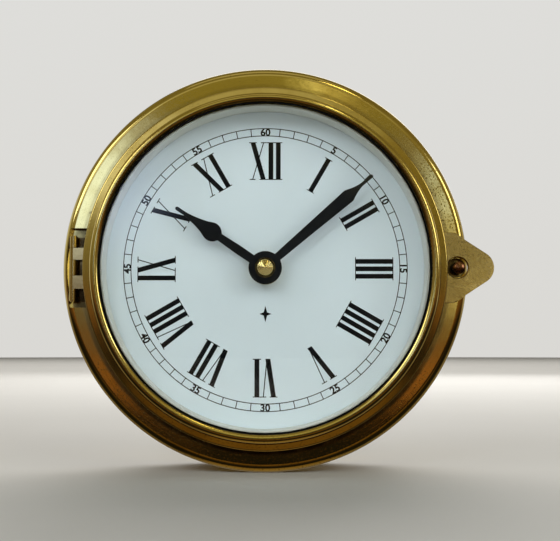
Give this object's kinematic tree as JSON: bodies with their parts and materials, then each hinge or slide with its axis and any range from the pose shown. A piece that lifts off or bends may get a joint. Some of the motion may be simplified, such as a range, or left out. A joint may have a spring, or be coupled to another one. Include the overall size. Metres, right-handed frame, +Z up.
{
  "type": "ship's deck clock",
  "caption": "Round brass ship's deck clock with a hinged bezel, Roman dial, two hands and a striking quartz movement.",
  "frame": {"origin": "centre of the back face, where the clock lies against the bulkhead", "axes": "+Z up (12 o'clock), -Y the way the dial faces, +X to the right seen from the front"},
  "size_m": [0.1604, 0.0468, 0.1512],
  "materials": {
    "case_brass": "satin, lacquered, with light tarnish",
    "bezel_brass": "turned and polished",
    "bright_brass": "bright turned",
    "steel": "satin",
    "iron": "matte",
    "black_paint": "matte black",
    "dial_white": "matte white",
    "ring_white": "satin white",
    "glass": "clear",
    "rubber": "matte",
    "black_plastic": "moulded, fine grain",
    "natural_plastic": "moulded",
    "board": "laminate",
    "copper": "enamelled wire",
    "magnet": "matte",
    "paper_cone": "matte",
    "battery_jacket": "printed film, plain"
  },
  "bodies": {
    "root": {"case_body": "case_brass", "back_plate": "case_brass", "back_plate_screws": "steel", "bezel_gasket": "rubber", "hinge_case_leaf": "bezel_brass", "hinge_case_screws": "bezel_brass", "hinge_pin": "bezel_brass", "catch_spring": "steel", "dial": "dial_white", "dial_ring": "ring_white", "dial_nut": "bright_brass", "centre_bush": "bright_brass", "stator": "iron", "coil_bobbin": "natural_plastic", "coil_winding": "copper", "movement_front_case": "black_plastic", "movement_back_case": "black_plastic", "movement_screws": "steel", "train_plate": "natural_plastic", "small_movement_screws": "steel", "circuit_board": "board", "clock_chips": "black_plastic", "quartz_crystal": "steel", "capacitors": "battery_jacket", "battery": "battery_jacket", "battery_positive_contact": "steel", "battery_negative_spring": "steel", "switch_body": "black_plastic", "volume_body": "black_plastic", "speaker_frame": "steel", "speaker_magnet": "magnet", "speaker_cone": "paper_cone", "speaker_wires": "rubber"},
    "bezel": {"bezel_ring": "bezel_brass", "bezel_tab": "bezel_brass", "bezel_tab_screws": "bezel_brass", "glass": "glass", "glass_gasket": "rubber", "glass_retainer": "bright_brass", "hinge_bezel_leaf": "bezel_brass", "hinge_bezel_screws": "bezel_brass"},
    "minute": {"minute_hand": "black_paint", "minute_arbor": "steel", "centre_wheel": "bright_brass", "clutch_spring": "bright_brass", "hand_nut": "bright_brass"},
    "hour": {"hour_hand": "black_paint", "hour_wheel": "natural_plastic"},
    "motion_wheel_body": {"motion_wheel": "natural_plastic"},
    "third_wheel_body": {"third_wheel": "natural_plastic"},
    "seconds_wheel_body": {"seconds_wheel": "natural_plastic"},
    "intermediate_wheel_body": {"intermediate_wheel": "natural_plastic"},
    "rotor_body": {"rotor": "magnet"},
    "setting_knob_body": {"setting_knob": "black_plastic"},
    "catch_stud_body": {"catch_stud": "bezel_brass"},
    "switch_slider_body": {"switch_slider": "black_plastic"},
    "volume_knob_body": {"volume_knob": "black_plastic"}
  },
  "joints": [
    {"name": "bezel_hinge", "type": "hinge", "parent": "root", "child": "bezel", "pos_m": [-0.0714, -0.0375, 0], "axis": [0, 0, -1], "range_deg": [0, 110]},
    {"name": "minute_turn", "type": "hinge", "parent": "root", "child": "minute", "pos_m": [0, -0.03, 0], "axis": [0, 1, 0], "continuous": true},
    {"name": "hour_turn", "type": "hinge", "parent": "root", "child": "hour", "pos_m": [0, -0.03, 0], "axis": [0, 1, 0], "continuous": true},
    {"name": "motion_wheel_turn", "type": "hinge", "parent": "root", "child": "motion_wheel_body", "pos_m": [0.01015, -0.026, -0.00369], "axis": [0, 1, 0], "continuous": true},
    {"name": "setting_turn", "type": "hinge", "parent": "root", "child": "setting_knob_body", "pos_m": [0.01709, -0.016, -0.01197], "axis": [0, 1, 0], "continuous": true},
    {"name": "third_turn", "type": "hinge", "parent": "root", "child": "third_wheel_body", "pos_m": [0.00595, -0.02, 0.01031], "axis": [0, 1, 0], "continuous": true},
    {"name": "seconds_turn", "type": "hinge", "parent": "root", "child": "seconds_wheel_body", "pos_m": [-0.0034, -0.018, 0.01571], "axis": [0, 1, 0], "continuous": true},
    {"name": "intermediate_turn", "type": "hinge", "parent": "root", "child": "intermediate_wheel_body", "pos_m": [-0.0139, -0.016, 0.01571], "axis": [0, 1, 0], "continuous": true},
    {"name": "rotor_turn", "type": "hinge", "parent": "root", "child": "rotor_body", "pos_m": [-0.01698, -0.017, 0.00725], "axis": [0, 1, 0], "continuous": true},
    {"name": "catch_press", "type": "slide", "parent": "root", "child": "catch_stud_body", "axis": [0, 1, 0], "range_m": [0, 0.0014], "stiffness_N_per_m": 400, "deforming": ["catch_spring"]},
    {"name": "strike_switch", "type": "slide", "parent": "root", "child": "switch_slider_body", "axis": [0, 0, 1], "range_m": [0, 0.004]},
    {"name": "volume_turn", "type": "hinge", "parent": "root", "child": "volume_knob_body", "pos_m": [0.031, -0.009, 0.012], "axis": [0, 1, 0], "range_deg": [0, 270]}
  ],
  "couplings": [
    {"joint": "hour_turn", "follows": "minute_turn", "ratio": 0.083333},
    {"joint": "motion_wheel_turn", "follows": "minute_turn", "ratio": -0.33333},
    {"joint": "setting_turn", "follows": "minute_turn", "ratio": 1},
    {"joint": "third_turn", "follows": "minute_turn", "ratio": -7.5},
    {"joint": "seconds_turn", "follows": "minute_turn", "ratio": 60},
    {"joint": "intermediate_turn", "follows": "minute_turn", "ratio": -360},
    {"joint": "rotor_turn", "follows": "minute_turn", "ratio": 1800}
  ]
}
